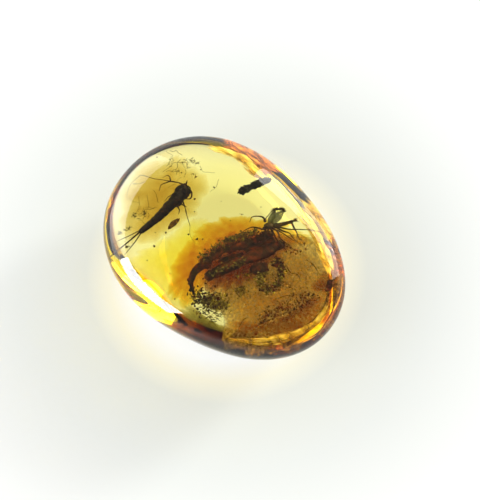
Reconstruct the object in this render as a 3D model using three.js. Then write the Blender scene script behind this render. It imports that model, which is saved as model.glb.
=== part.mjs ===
// A polished pebble of amber, the size of a large grape, that holds fossil insects.
// It is one naturally hardened piece of resin, so it is one solid: a low dome above
// a rounded girth, and a bevelled underside whose rounded keel is worn to a flat.
//
// Frame: millimetres, +X towards the slimmer end, +Y towards the ridged flank, +Z up.
// The origin is under the middle of the outline, in the plane of the flat underside.

import * as THREE from 'three';
import { mergeVertices } from 'three/addons/utils/BufferGeometryUtils.js';

// Driving dimensions, in millimetres
const HALF_LENGTH = 14.25;         // girth, centre to either end along X
const HALF_WIDTH = 10.95;          // girth, centre to either side along Y
const GIRTH_HEIGHT = 5.1;          // the widest level, above the flat underside
const DOME_RISE = 4.5;             // the dome's top, above the girth
const KEEL_DROP = 7.5;             // how far the underside would reach below the girth with no flat
const BEVEL_START = 1.65;          // depth below the girth where the underside starts to slope in
const FLAT_DEPTH = 0.12;           // how much the flat wears off the rounded underside

// Character of the pebble
const OUTLINE_POWER = 2.07;        // 2 is an ellipse, more is squarer
const PROFILE_POWER = 2.8;         // the same for the rise from girth to dome
const EGG = 0.13;                  // how much slimmer the +X end is than the -X end
const EDGE_POWER = 12;             // how crisply one worn face turns into the next

// Flat underside: its size as a fraction of the girth, on average, and how much wider it is
// towards a few bearings. Each entry is the number of lobes round the pebble, the amount along
// +X and the amount along +Y.
const FLAT_FRACTION = 0.627;
const FLAT_LOBES = [
  [1, 0.095, 0.085],               // it lies a little towards the slim end and the ridged flank
  [2, -0.015, -0.03],              // and is not quite oval
  [3, 0.015, 0.05],
];

// The worn face along the +Y flank, whose upper edge reads as a soft ridge
const RIDGE_BEARING = THREE.MathUtils.degToRad(91.5);
const RIDGE_SLOPE = THREE.MathUtils.degToRad(53);
const RIDGE_DISTANCE = 7.88;       // from the girth's centre to the face

// Facets of the solid
const SEGMENTS_ROUND = 84;
const RINGS = 34;
const RINGS_ON_FLAT = 4;

const ridgeNormal = new THREE.Vector3(
  Math.cos(RIDGE_BEARING) * Math.cos(RIDGE_SLOPE),
  Math.sin(RIDGE_BEARING) * Math.cos(RIDGE_SLOPE),
  Math.sin(RIDGE_SLOPE),
);

// Size of the flat underside, as a fraction of the girth, in the direction of a bearing.
function flatFraction(bearing) {
  return FLAT_LOBES.reduce(
    (size, [lobes, alongX, alongY]) => size
      + alongX * Math.cos(lobes * bearing)
      + alongY * Math.sin(lobes * bearing),
    FLAT_FRACTION,
  );
}

// How far out a point lies, with the girth's centre at 0 and the pebble's skin at 1. The
// rounded body, the bevel under it, the worn keel and the ridge face are blended by a
// soft maximum.
function reach(point) {
  const { x, y, z } = point;
  const radius = Math.hypot(x, y) + 1e-9;
  const egg = 1 - EGG * (x / radius) * (y / radius) ** 2;
  const outline = Math.pow(
    Math.pow(Math.abs(x) / HALF_LENGTH, OUTLINE_POWER) + Math.pow(Math.abs(y) / HALF_WIDTH, OUTLINE_POWER),
    1 / OUTLINE_POWER,
  ) / egg;
  const height = z > 0 ? z / DOME_RISE : -z / KEEL_DROP;
  const body = Math.pow(
    Math.pow(outline, PROFILE_POWER) + Math.pow(height, PROFILE_POWER),
    1 / PROFILE_POWER,
  );

  const flat = flatFraction(Math.atan2(y, x));
  const slope = (1 - flat) / (GIRTH_HEIGHT - BEVEL_START * flat);
  const bevel = Math.max(outline * (1 - BEVEL_START * slope) - z * slope, 0);

  const keel = Math.max(-z / (GIRTH_HEIGHT + FLAT_DEPTH), 0);
  const ridge = Math.max(ridgeNormal.dot(point) / RIDGE_DISTANCE, 0);

  const faces = [body, bevel, keel, ridge];
  return Math.pow(faces.reduce((sum, face) => sum + Math.pow(face, EDGE_POWER), 0), 1 / EDGE_POWER);
}

// The point of the skin in a direction from the girth's centre.
function skinPoint(bearing, elevation) {
  const direction = new THREE.Vector3(
    Math.cos(bearing) * Math.cos(elevation),
    Math.sin(bearing) * Math.cos(elevation),
    Math.sin(elevation),
  );
  return direction.divideScalar(reach(direction));
}

// The elevation at which the skin meets the flat underside, found by halving.
function rimElevation(bearing) {
  let below = -Math.PI / 2 + 1e-3;
  let above = 0;
  for (let step = 0; step < 40; step += 1) {
    const middle = (below + above) / 2;
    if (skinPoint(bearing, middle).z < -GIRTH_HEIGHT) {
      below = middle;
    } else {
      above = middle;
    }
  }
  return above;
}

// A unit sphere's rings are laid on the pebble: the lowest few cover the flat underside,
// and the rest climb from its rim, over the girth, to the top of the dome.
function pebbleGeometry() {
  const sphere = new THREE.SphereGeometry(1, SEGMENTS_ROUND, RINGS);
  sphere.rotateX(Math.PI / 2);
  sphere.deleteAttribute('normal');
  sphere.deleteAttribute('uv');
  const pebble = mergeVertices(sphere, 1e-5);

  const positions = pebble.getAttribute('position');
  const flatShare = RINGS_ON_FLAT / RINGS;
  const vertex = new THREE.Vector3();
  for (let index = 0; index < positions.count; index += 1) {
    vertex.fromBufferAttribute(positions, index);
    const bearing = Math.atan2(vertex.y, vertex.x);
    const climb = 1 - Math.acos(THREE.MathUtils.clamp(vertex.z, -1, 1)) / Math.PI;
    const rim = rimElevation(bearing);
    if (climb < flatShare + 1e-6) {
      vertex.copy(skinPoint(bearing, rim)).multiplyScalar(climb / flatShare);
      vertex.z = 0;
    } else {
      const share = (climb - flatShare) / (1 - flatShare);
      vertex.copy(skinPoint(bearing, THREE.MathUtils.lerp(rim, Math.PI / 2, share)));
      vertex.z += GIRTH_HEIGHT;
    }
    positions.setXYZ(index, vertex.x, vertex.y, vertex.z);
  }
  pebble.computeBoundingBox();
  const middle = pebble.boundingBox.getCenter(new THREE.Vector3());
  pebble.translate(-middle.x, -middle.y, 0);
  pebble.computeVertexNormals();
  return pebble;
}

const amberMaterial = new THREE.MeshStandardMaterial({
  color: 0xe0b428,
  roughness: 0.05,
  metalness: 0,
  transparent: true,
  opacity: 0.6,
});

const amber = new THREE.Mesh(pebbleGeometry(), amberMaterial);
amber.name = 'amber';

const insectInAmber = new THREE.Group();
insectInAmber.add(amber);

export default insectInAmber;
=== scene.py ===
"""Insect in amber: a polished pebble of fossil resin with a bristletail, a gnat and bark in it.

Sizes are in millimetres until a piece is made, when MM turns them to metres. +X runs to the
pebble's slimmer end, +Y to its ridged flank and +Z up through its dome.
"""
import math
import random

import bmesh
import bpy
import numpy as np
from mathutils import Matrix, Vector, noise


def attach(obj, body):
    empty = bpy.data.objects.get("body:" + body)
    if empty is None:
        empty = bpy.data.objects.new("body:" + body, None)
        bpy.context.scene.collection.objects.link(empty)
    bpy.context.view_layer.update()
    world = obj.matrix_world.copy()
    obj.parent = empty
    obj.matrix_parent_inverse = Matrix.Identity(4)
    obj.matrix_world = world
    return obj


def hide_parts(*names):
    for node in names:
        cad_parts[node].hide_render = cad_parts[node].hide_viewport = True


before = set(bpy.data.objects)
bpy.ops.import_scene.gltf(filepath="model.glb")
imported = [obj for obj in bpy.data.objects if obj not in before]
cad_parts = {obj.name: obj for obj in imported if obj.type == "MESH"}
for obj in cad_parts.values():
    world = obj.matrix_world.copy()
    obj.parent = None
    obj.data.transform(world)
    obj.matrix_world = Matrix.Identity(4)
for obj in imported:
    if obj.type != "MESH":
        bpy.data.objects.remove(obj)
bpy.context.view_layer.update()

MM = 0.001

# ---------------------------------------------------------------- the pebble's dimensions
HALF_LENGTH = 14.25
HALF_WIDTH = 10.95
GIRTH_HEIGHT = 5.1
DOME_RISE = 4.5
KEEL_DROP = 7.5
BEVEL_START = 1.65
FLAT_DEPTH = 0.12
OUTLINE_POWER = 2.07
PROFILE_POWER = 2.8
EGG = 0.13
EDGE_POWER = 12
FLAT_FRACTION = 0.627
FLAT_LOBES = [(1, 0.095, 0.085), (2, -0.015, -0.03), (3, 0.015, 0.05)]
RIDGE_BEARING = math.radians(91.5)
RIDGE_SLOPE = math.radians(53)
RIDGE_DISTANCE = 7.88
POLISH_WAVE = 0.0012          # hand polishing leaves the skin this uneven, as a share of its radius
TUMBLE_WAVE = 0.0005          # and its less polished underside this uneven
AMBER_IOR = 1.54
RESIN_BOUND_SPECULAR = 0.12   # resin wets what it seals in, so little light glances off it
INNER_ORIGIN = (-0.16, -0.29, 0.0)   # what is sealed inside is placed from this point
HALVINGS = 45                 # steps of the search for the flat's rim
FLAT_NORMAL_Z = -0.9999       # faces that look down more squarely than this belong to the flat


# ---------------------------------------------------------------- materials
def linear(code):
    """An sRGB hex colour as linear RGBA."""
    channels = [int(code[i:i + 2], 16) / 255 for i in (1, 3, 5)]
    return [c / 12.92 if c <= 0.04045 else ((c + 0.055) / 1.055) ** 2.4 for c in channels] + [1.0]


def set_stops(elements, stops):
    """Give a colour ramp its (position, hex) stops."""
    while len(elements) < len(stops):
        elements.new(0.5)
    for element, (position, code) in zip(elements, stops):
        element.position = position
        element.color = linear(code)


def add(tree, kind, settings=(), links=()):
    """Add a node, set its properties and sockets, and link outputs to it.

    A node given as a link stands for its first output.
    """
    node = tree.nodes.new("ShaderNode" + kind)
    for name, value in dict(settings).items():
        if name == "stops":
            set_stops(node.color_ramp.elements, value)
        elif isinstance(name, int) or name in node.inputs:
            node.inputs[name].default_value = value
        else:
            setattr(node, name, value)
    for name, source in dict(links).items():
        tree.links.new(source.outputs[0] if hasattr(source, "outputs") else source, node.inputs[name])
    return node


def new_material(name):
    """A new material, its node tree, and the output that says where a point lies on the piece."""
    material = bpy.data.materials.new(name)
    material.use_nodes = True
    tree = material.node_tree
    tree.nodes.clear()
    return material, tree, add(tree, "TexCoord").outputs["Object"]


def per_metre(size_mm):
    """A noise texture's scale for features of a real size."""
    return 1 / (size_mm * MM)


def polished_amber():
    """Fossil resin, tumbled and hand-polished: wet gloss, lemon where thin, honey in long paths."""
    material, tree, place = new_material("polished_amber")
    wear = add(tree, "TexNoise", {"Scale": per_metre(1.2), "Detail": 3.0}, {"Vector": place})
    gloss = add(tree, "MapRange", {"To Min": 0.0, "To Max": 0.03}, {"Value": wear})
    ripple = add(tree, "TexNoise", {"Scale": per_metre(2.5), "Detail": 1.0}, {"Vector": place})
    bump = add(tree, "Bump", {"Strength": 0.12, "Distance": 0.02 * MM}, {"Height": ripple})
    # The girth keeps a trace of the oxidised crust: orange, most of it towards the slim end.
    per_half = (1 / (HALF_LENGTH * MM), 1 / (HALF_WIDTH * MM), 0)
    ratio = add(tree, "VectorMath", {"operation": "MULTIPLY", 1: per_half}, {0: place})
    outward = add(tree, "VectorMath", {"operation": "DOT_PRODUCT"}, {0: ratio, 1: ratio})
    along_x = add(tree, "SeparateXYZ", {}, {"Vector": ratio})
    crust = add(tree, "TexNoise", {"Scale": per_metre(2.4), "Detail": 4.0}, {"Vector": place})
    # Three masks make the tint's share: the girth, the slim end, and patches.
    masks = []
    for source, start, end, low, high in (
        (outward.outputs["Value"], 0.66, 0.98, 0.0, 0.9),
        (along_x, -0.5, 0.9, 0.3, 1.0),
        (crust, 0.3, 0.7, 0.45, 1.2),
    ):
        limits = {"From Min": start, "From Max": end, "To Min": low, "To Max": high}
        masks.append(add(tree, "MapRange", limits, {"Value": source}))
    share = masks[0]
    for mask in masks[1:]:
        share = add(tree, "Math", {"operation": "MULTIPLY"}, {0: share, 1: mask})
    stops = [(0.0, "#ffffff"), (0.35, "#fbe7a8"), (0.7, "#f0b45c"), (1.0, "#d98a3a")]
    rind = add(tree, "ValToRGB", {"stops": stops}, {"Fac": share})
    skin = add(
        tree, "BsdfPrincipled", {"Transmission Weight": 1.0, "IOR": AMBER_IOR},
        {"Base Color": rind, "Roughness": gloss, "Normal": bump},
    )
    resin = add(tree, "VolumeAbsorption", {"Color": (0.985, 0.945, 0.35, 1), "Density": 200.0})
    add(tree, "OutputMaterial", {}, {"Surface": skin, "Volume": resin})
    return material


def stained_resin(name, colour, density):
    """Resin tinted by what decayed in it: no surface of its own, it only darkens what is behind."""
    material, tree, place = new_material(name)
    cloud = add(tree, "TexNoise", {"Scale": per_metre(0.5), "Detail": 4.0}, {"Vector": place})
    stops = [(0.35, "#fdfaf2"), (0.62, "#ffffff")]
    tint = add(tree, "ValToRGB", {"stops": stops}, {"Fac": cloud})
    skin = add(
        tree, "BsdfPrincipled", {"Transmission Weight": 1.0, "IOR": 1.0, "Roughness": 0.0},
        {"Base Color": tint},
    )
    resin = add(tree, "VolumeAbsorption", {"Color": (*colour, 1), "Density": density})
    add(tree, "OutputMaterial", {}, {"Surface": skin, "Volume": resin})
    return material


def solid(name, size_mm, stops, roughness, bump_mm, alpha=None, stretch=(1, 1, 1)):
    """An opaque or veiled natural solid, mottled in patches of size_mm and pitted by bump_mm."""
    material, tree, place = new_material(name)
    grain = add(tree, "Mapping", {"Scale": stretch}, {"Vector": place})
    patches = add(tree, "TexNoise", {"Scale": per_metre(size_mm), "Detail": 5.0}, {"Vector": grain})
    pits = add(tree, "TexNoise", {"Scale": per_metre(size_mm / 4), "Detail": 2.0}, {"Vector": grain})
    bump = add(tree, "Bump", {"Strength": 0.8, "Distance": bump_mm * MM}, {"Height": pits})
    limits = {"To Min": roughness - 0.12, "To Max": roughness + 0.12}
    gloss = add(tree, "MapRange", limits, {"Value": pits})
    mottle = add(tree, "ValToRGB", {"stops": stops}, {"Fac": patches})
    links = {"Base Color": mottle, "Roughness": gloss, "Normal": bump}
    if alpha:
        thin, thick = alpha
        limits = {"From Min": 0.38, "From Max": 0.62, "To Min": thin, "To Max": thick}
        links["Alpha"] = add(tree, "MapRange", limits, {"Value": patches})
    skin = add(tree, "BsdfPrincipled", {"Specular IOR Level": RESIN_BOUND_SPECULAR}, links)
    add(tree, "OutputMaterial", {}, {"Surface": skin})
    return material


MATERIALS = {
    "amber": polished_amber(),
    # Faint veils of later resin flows: ochre by the bristletail, gold below it.
    "ochre": stained_resin("ochre_resin_veil", (0.88, 0.79, 0.42), 3000.0),
    "gold": stained_resin("golden_resin_veil", (0.995, 0.94, 0.10), 1300.0),
    # Bark juice in resin: glows orange where light comes through it.
    "orange_stain": stained_resin("orange_stained_resin", (0.93, 0.78, 0.05), 5500.0),
    # Resin clouded by decay: caramel brown, darker where it is thick.
    "caramel": stained_resin("caramel_resin_flow", (0.79, 0.62, 0.25), 1500.0),
    # The flow's own sediment: dark brown along its foot.
    "sediment": stained_resin("brown_sediment", (0.76, 0.52, 0.20), 7500.0),
    # Resin rich in wood juice, in a seam along the foot: dark olive.
    "olive": stained_resin("olive_resin_seam", (0.60, 0.54, 0.10), 5000.0),
    # Bark soaked with resin: black in its middle, glowing red-brown at thin edges.
    "soaked_bark": stained_resin("resin_soaked_bark", (0.72, 0.35, 0.02), 7000.0),
    # Carbonised chitin: almost black, reddish where thin, with a dull satin shine.
    "bristletail": solid(
        "bristletail_cuticle", 0.35,
        [(0.35, "#080403"), (0.55, "#160a06"), (0.75, "#301509")], 0.42, 0.02,
    ),
    # Thin chitin of legs and feelers: dark umber.
    "limb": solid("limb_cuticle", 0.2, [(0.3, "#170c06"), (0.7, "#33190b")], 0.45, 0.006),
    # The gnat's softer skin: olive umber, less dense than the bristletail's.
    "gnat": solid("gnat_cuticle", 0.2, [(0.3, "#1d1408"), (0.7, "#3f2c10")], 0.45, 0.01),
    # Chitin film with fine hairs: smoky, half clear.
    "wing": solid("wing_membrane", 0.12, [(0.35, "#1e1e0c"), (0.65, "#59572c")], 0.3, 0.004, (0.35, 0.95)),
    # Decayed bark: dark red-brown with black and rusty patches, crumbly and dull.
    "bark": solid(
        "decayed_bark", 0.55,
        [(0.30, "#100602"), (0.50, "#260c04"), (0.64, "#4a1a08"), (0.80, "#7a3410")], 0.5, 0.06,
    ),
    # Mossy crumbs: olive and brown, each grain a little different.
    "moss": solid("moss_crumbs", 0.3, [(0.35, "#2a220c"), (0.55, "#574b1a"), (0.7, "#968a38")], 0.6, 0.03),
    # Insect frass: compressed black wood dust, dull and rough.
    "frass": solid("pressed_frass", 0.18, [(0.3, "#0b0a07"), (0.7, "#25211a")], 0.65, 0.05),
    # Bud scale: brown and fibrous along its length.
    "bud": solid(
        "bud_scale_skin", 0.12, [(0.3, "#2a170a"), (0.5, "#4d2f12"), (0.7, "#70501e")], 0.5, 0.02,
        stretch=(3.0, 0.6, 1.5),
    ),
    # Plant hairs and dust: thin dark olive threads.
    "hair": solid("plant_hair", 0.15, [(0.3, "#1d1608"), (0.7, "#4a3c14")], 0.55, 0.005),
    # Grains that float in the clouded flow: tan to umber.
    "grain": solid("flow_grain", 0.6, [(0.3, "#4a280c"), (0.5, "#8a5a1c"), (0.7, "#caa050")], 0.55, 0.02),
    # Stress fractures in resin: flat flecks that throw the light back as pale gold.
    "spangle": solid(
        "stress_fracture", 0.8, [(0.3, "#e8b43c"), (0.5, "#f8dc78"), (0.7, "#fff2b8")], 0.4, 0.01,
        alpha=(0.3, 0.75), stretch=(0.45, 1.6, 1.6),
    ),
    # Old crust under the polished flank: rusty orange, streaked along the flank.
    "crust": solid(
        "oxidised_crust", 0.5, [(0.3, "#8a4410"), (0.5, "#c06c1c"), (0.7, "#e8a040")], 0.5, 0.02,
        alpha=(0.25, 0.9), stretch=(0.35, 1.5, 1.5),
    ),
    # A crack's dusty film: warm brown, mostly clear, in cloudy patches.
    "dust": solid(
        "dusty_film", 0.22, [(0.3, "#6a4812"), (0.5, "#94701e"), (0.7, "#bd9c3c")], 0.6, 0.03,
        alpha=(0.12, 0.42),
    ),
}


# ---------------------------------------------------------------- the pebble's surface
def reach(x, y, z):
    """How far out points lie, with the girth's centre at 0 and the pebble's skin at 1."""
    radius = np.hypot(x, y) + 1e-9
    egg = 1 - EGG * (x / radius) * (y / radius) ** 2
    outline = (
        (np.abs(x) / HALF_LENGTH) ** OUTLINE_POWER + (np.abs(y) / HALF_WIDTH) ** OUTLINE_POWER
    ) ** (1 / OUTLINE_POWER) / egg
    height = np.where(z > 0, z / DOME_RISE, -z / KEEL_DROP)
    body = (outline ** PROFILE_POWER + height ** PROFILE_POWER) ** (1 / PROFILE_POWER)

    bearing = np.arctan2(y, x)
    flat = FLAT_FRACTION
    for lobes, along_x, along_y in FLAT_LOBES:
        flat = flat + along_x * np.cos(lobes * bearing) + along_y * np.sin(lobes * bearing)
    slope = (1 - flat) / (GIRTH_HEIGHT - BEVEL_START * flat)
    bevel = np.maximum(outline * (1 - BEVEL_START * slope) - z * slope, 0)

    keel = np.maximum(-z / (GIRTH_HEIGHT + FLAT_DEPTH), 0)
    across = x * math.cos(RIDGE_BEARING) + y * math.sin(RIDGE_BEARING)
    ridge = np.maximum(
        (across * math.cos(RIDGE_SLOPE) + z * math.sin(RIDGE_SLOPE)) / RIDGE_DISTANCE, 0,
    )
    faces = body ** EDGE_POWER + bevel ** EDGE_POWER + keel ** EDGE_POWER + ridge ** EDGE_POWER
    return faces ** (1 / EDGE_POWER)


def skin_points(bearing, elevation):
    """Points of the skin in directions from the girth's centre, with the polisher's waviness."""
    x = np.cos(bearing) * np.cos(elevation)
    y = np.sin(bearing) * np.cos(elevation)
    z = np.sin(elevation)
    wave = (
        np.sin(7 * x + 1.3) * np.sin(6 * y + 0.4)
        + 0.6 * np.sin(11 * y - 5 * x + 2.0) * np.sin(9 * z + 1.0)
        + 0.35 * np.sin(17 * x + 9 * y)
    )
    below = 1 / (1 + np.exp(14 * z))
    tumbled = (
        np.sin(9 * x + 4 * y + 0.5)
        + 0.8 * np.sin(13 * y - 6 * x + 1.0) * np.cos(7 * z)
        + 0.5 * np.sin(21 * x + 11 * y + 12 * z)
    )
    size = (1 + POLISH_WAVE * wave + TUMBLE_WAVE * below * tumbled) / reach(x, y, z)
    return np.stack([x * size, y * size, z * size], axis=-1)


def pebble(segments=400, rings=150, flat_rings=10):
    """The fine amber mesh: rings over the flat underside, then from its rim to the dome's top."""
    bearing = np.linspace(0, 2 * math.pi, segments, endpoint=False)
    below = np.full(segments, -math.pi / 2 + 1e-3)
    above = np.zeros(segments)
    for _ in range(HALVINGS):
        middle = (below + above) / 2
        low = skin_points(bearing, middle)[:, 2] < -GIRTH_HEIGHT
        below = np.where(low, middle, below)
        above = np.where(low, above, middle)
    rim = skin_points(bearing, above)
    rim[:, 2] = -GIRTH_HEIGHT

    layers = []
    for ring in range(1, flat_rings):
        share = (ring / flat_rings) ** 0.6
        layers.append(rim * [share, share, 1])
    layers.append(rim)
    for ring in range(1, rings):
        layers.append(skin_points(bearing, above + (math.pi / 2 - above) * ring / rings))
    top = skin_points(np.zeros(1), np.full(1, math.pi / 2))
    points = np.vstack([[[0, 0, -GIRTH_HEIGHT]]] + layers + [top])
    points[:, 2] += GIRTH_HEIGHT
    middle = (points.min(axis=0) + points.max(axis=0)) / 2
    points[:, :2] -= middle[:2]

    faces = []
    last = len(points) - 1
    for i in range(segments):
        j = (i + 1) % segments
        faces.append((0, 1 + j, 1 + i))
        start = last - segments
        faces.append((last, start + i, start + j))
    for layer in range(len(layers) - 1):
        a = 1 + layer * segments
        b = a + segments
        for i in range(segments):
            j = (i + 1) % segments
            faces.append((a + i, a + j, b + j, b + i))
    mesh = bpy.data.meshes.new("amber_pebble")
    mesh.from_pydata((points * MM).tolist(), [], faces)
    for face in mesh.polygons:
        face.use_smooth = face.normal.z > FLAT_NORMAL_Z
    return finish_piece("amber_pebble", mesh, "amber")


# ---------------------------------------------------------------- making pieces
def finish_piece(name, mesh, material):
    """Make an object of a mesh, give it its finish and let it ride with the pebble."""
    mesh.validate()
    piece = bpy.data.objects.new(name, mesh)
    bpy.context.scene.collection.objects.link(piece)
    mesh.materials.append(MATERIALS[material])
    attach(piece, "root")
    return piece


class Form:
    """Closed shells gathered in millimetres, which become one piece."""

    def __init__(self, origin=(0, 0, 0), bearing=0.0):
        self.points = []
        self.faces = []
        turn = Matrix.Rotation(math.radians(bearing), 4, "Z")
        self.place = Matrix.Translation(INNER_ORIGIN) @ Matrix.Translation(origin) @ turn

    def shell(self, points, faces):
        """Add one closed shell whose points are in this form's own frame."""
        start = len(self.points)
        self.points += [self.place @ Vector(p) for p in points]
        self.faces += [tuple(start + i for i in face) for face in faces]

    def tube(self, path, radius, sides=8, flatten=1.0, steps=None, roll=0.0):
        """Add a tapered tube on a smooth path. radius is a number or a function of 0 to 1.

        flatten squeezes its height, and roll leans the flattened tube over, in radians.
        """
        line = smooth_path(path, steps or 6 * (len(path) - 1))
        at = radius if callable(radius) else (lambda share: radius)
        points = []
        side = None
        for i, centre in enumerate(line):
            ahead = line[min(i + 1, len(line) - 1)] - line[max(i - 1, 0)]
            ahead.normalize()
            if side is None:
                side = ahead.cross(Vector((0, 0, 1)))
                if side.length < 0.1:
                    side = ahead.cross(Vector((1, 0, 0)))
            side = (side - ahead * side.dot(ahead)).normalized()
            rise = side.cross(ahead)
            size = max(at(i / (len(line) - 1)), 0.002)
            wide = side * math.cos(roll) + rise * math.sin(roll)
            thin = rise * math.cos(roll) - side * math.sin(roll)
            for k in range(sides):
                turn = 2 * math.pi * k / sides
                points.append(
                    centre + wide * (size * math.cos(turn)) + thin * (size * flatten * math.sin(turn))
                )
        faces = []
        for i in range(len(line) - 1):
            for k in range(sides):
                a = i * sides + k
                b = i * sides + (k + 1) % sides
                faces.append((a, a + sides, b + sides, b))
        faces.append(tuple(range(sides)))
        faces.append(tuple(reversed(range(len(points) - sides, len(points)))))
        self.shell(points, faces)

    def lump(self, centre, radii, bearing=0.0, rough=0.15, size=0.5, detail=3, seed=0):
        """Add an egg-shaped lump whose skin is broken up by noise of a real size."""
        ball = bmesh.new()
        bmesh.ops.create_icosphere(ball, subdivisions=detail, radius=1.0)
        turn = Matrix.Rotation(math.radians(bearing), 3, "Z")
        shift = Vector((seed * 7.31, seed * 3.17, seed * 5.73))
        points = []
        for vertex in ball.verts:
            point = Vector(vertex.co[k] * radii[k] for k in range(3))
            swell = noise.noise(point / size + shift) + 0.5 * noise.noise(point / (size * 0.4) + shift)
            points.append(Vector(centre) + turn @ (point * (1 + rough * swell)))
        faces = [tuple(v.index for v in face.verts) for face in ball.faces]
        ball.free()
        self.shell(points, faces)

    def piece(self, name, material, slot):
        """Make the piece."""
        mesh = bpy.data.meshes.new(name)
        mesh.from_pydata([tuple(p * MM) for p in self.points], [], self.faces)
        mesh.polygons.foreach_set("use_smooth", [True] * len(mesh.polygons))
        return finish_piece(name, mesh, material)


def curve_point(knots, k, t):
    """The point a share t of the way from knot k + 1 to knot k + 2 of a Catmull-Rom curve."""
    a, b, c, d = knots[k:k + 4]
    return 0.5 * (
        2 * b + (c - a) * t + (2 * a - 5 * b + 4 * c - d) * t ** 2 + (3 * b - a - 3 * c + d) * t ** 3
    )


def smooth_path(points, steps):
    """A Catmull-Rom curve through given points, as evenly numbered steps."""
    knots = [Vector(p) for p in points]
    knots = [knots[0] * 2 - knots[1]] + knots + [knots[-1] * 2 - knots[-2]]
    line = []
    for step in range(steps + 1):
        along = step / steps * (len(knots) - 3)
        k = min(int(along), len(knots) - 4)
        line.append(curve_point(knots, k, along - k))
    return line


def closed_path(points, steps):
    """A smooth closed loop through given points."""
    loop = points[-1:] + points + points[:2]
    places = [step / steps * len(points) for step in range(steps)]
    return [curve_point(loop, int(along), along % 1) for along in places]


def taper(start, end, power=1.0):
    """A radius that runs from start to end."""
    return lambda share: start + (end - start) * share ** power


def profile(stops):
    """A radius that is interpolated smoothly between (share, radius) stops."""
    def radius(share):
        for (start, thick), (end, thin) in zip(stops, stops[1:]):
            if share <= end:
                t = (share - start) / (end - start)
                return thick + (thin - thick) * t * t * (3 - 2 * t)
        return stops[-1][1]
    return radius


# ---------------------------------------------------------------- the bristletail
# Its own frame: forward along +X, its left along +Y, its back up along +Z.
BRISTLETAIL_AT = (-7.0, 0.1, 6.3)
BRISTLETAIL_BEARING = 91.4
ABDOMEN_RINGS = 11
THORAX_RINGS = 4
BRISTLES_PER_TAIL = 16
ABDOMEN_SHARE = 0.62           # how much of the body's length the abdomen takes


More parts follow.
